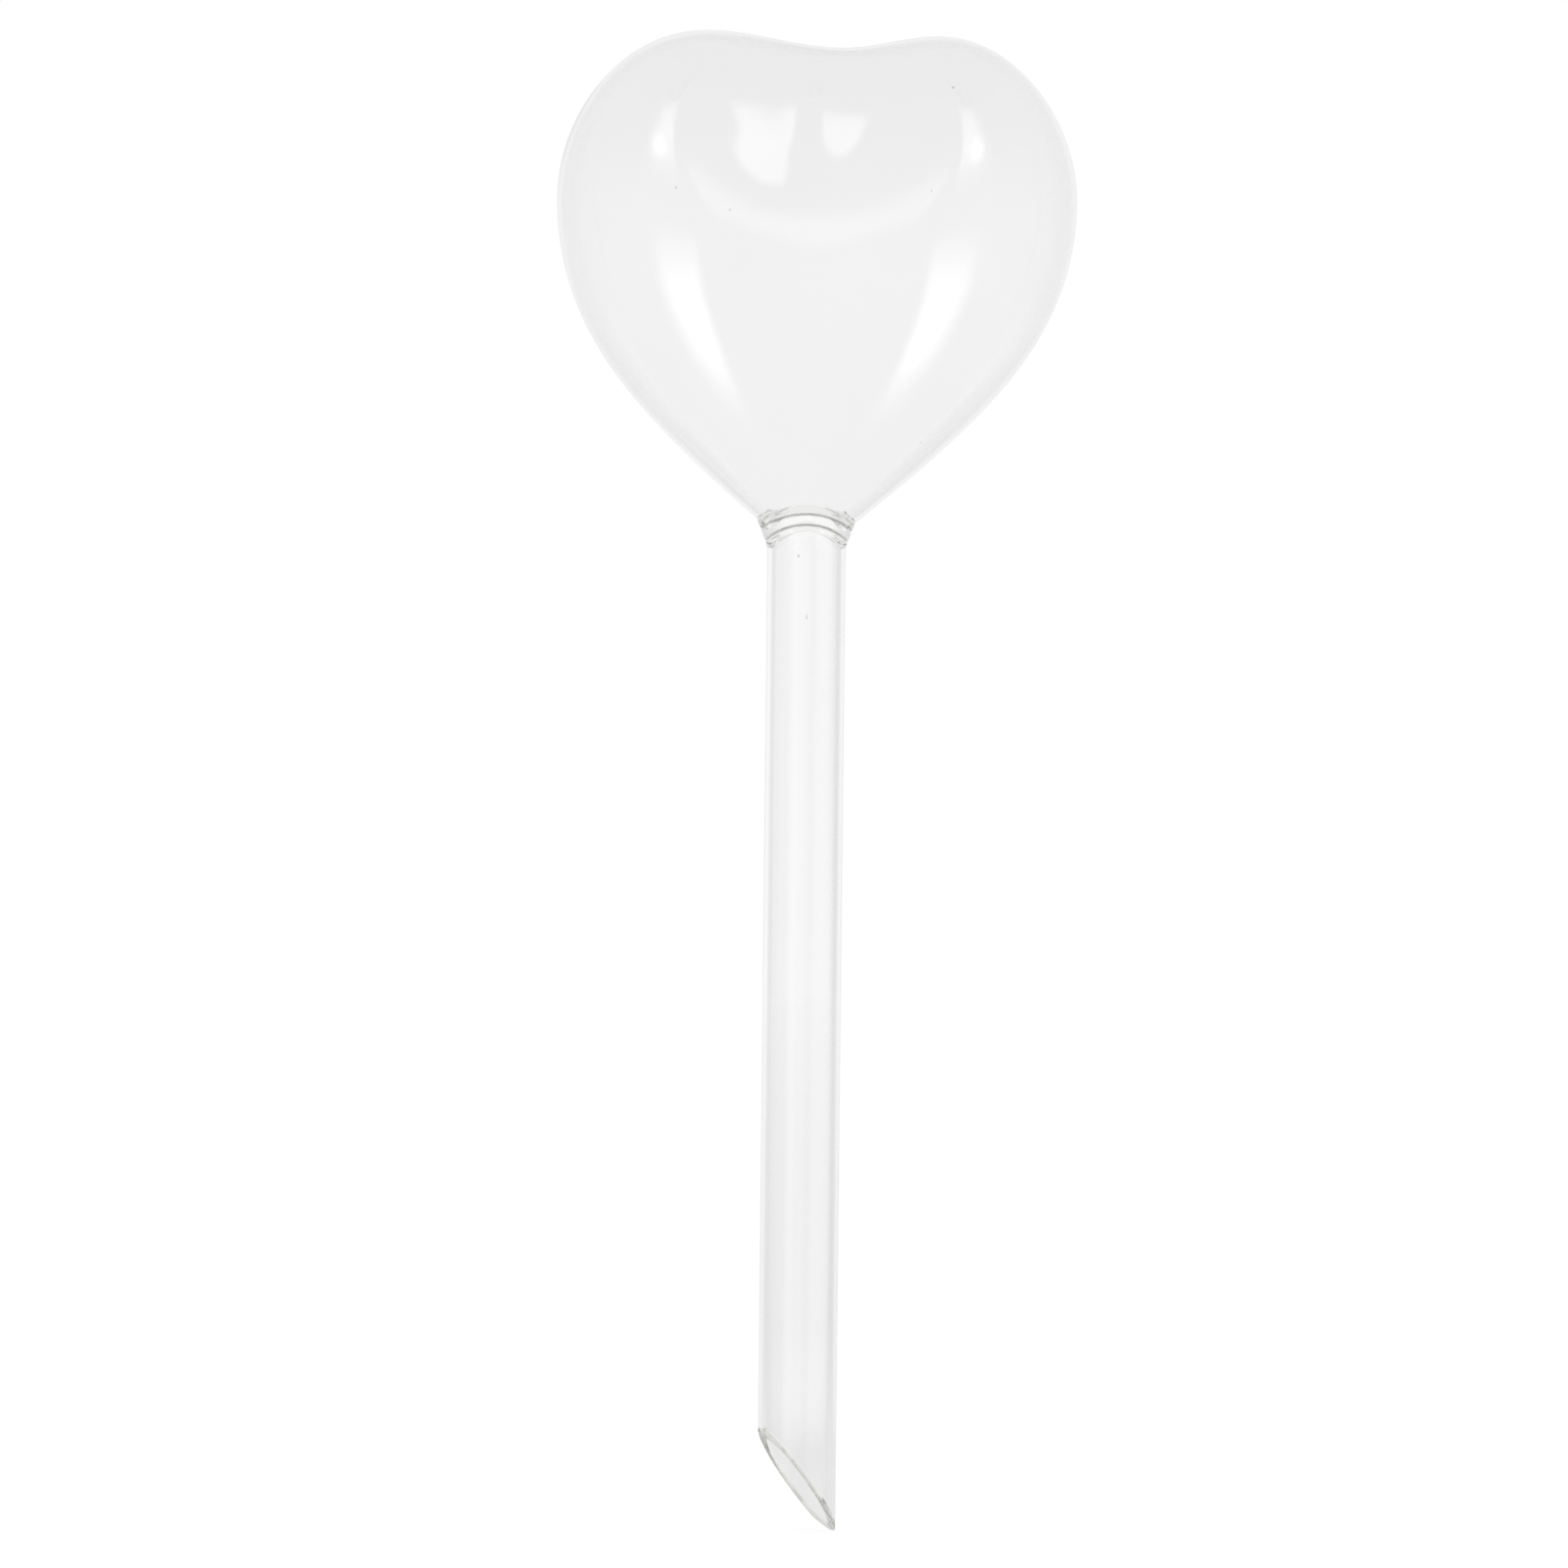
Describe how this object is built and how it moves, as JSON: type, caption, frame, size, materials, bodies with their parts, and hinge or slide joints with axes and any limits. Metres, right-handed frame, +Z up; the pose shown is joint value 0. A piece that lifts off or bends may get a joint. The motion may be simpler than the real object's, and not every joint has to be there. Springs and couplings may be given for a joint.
{
  "type": "watering globe",
  "caption": "Clear blown-glass watering globe: a hollow heart-shaped reservoir flame-sealed to a straight hollow stem whose slanted open tip is pushed into potting soil to water a plant slowly.",
  "frame": {"origin": "on the stem's axis at the stem's top end, where the side of the stem meets the weld: the deepest that the stem can be planted", "axes": "+Z up the stem's axis towards the heart, +X to the right as seen from the front of the heart, +Y to its back"},
  "size_m": [0.0797, 0.05, 0.2296],
  "materials": {
    "blown_glass": "clear hand-blown borosilicate glass, fire-smooth, slightly uneven",
    "fused_glass": "clear glass melted by flame, rippled",
    "drawn_glass": "clear drawn borosilicate tube with faint draw lines, cut tip flame-polished"
  },
  "bodies": {
    "root": {"heart_bulb": "blown_glass", "neck_weld": "fused_glass", "stem_tube": "drawn_glass"}
  },
  "joints": []
}
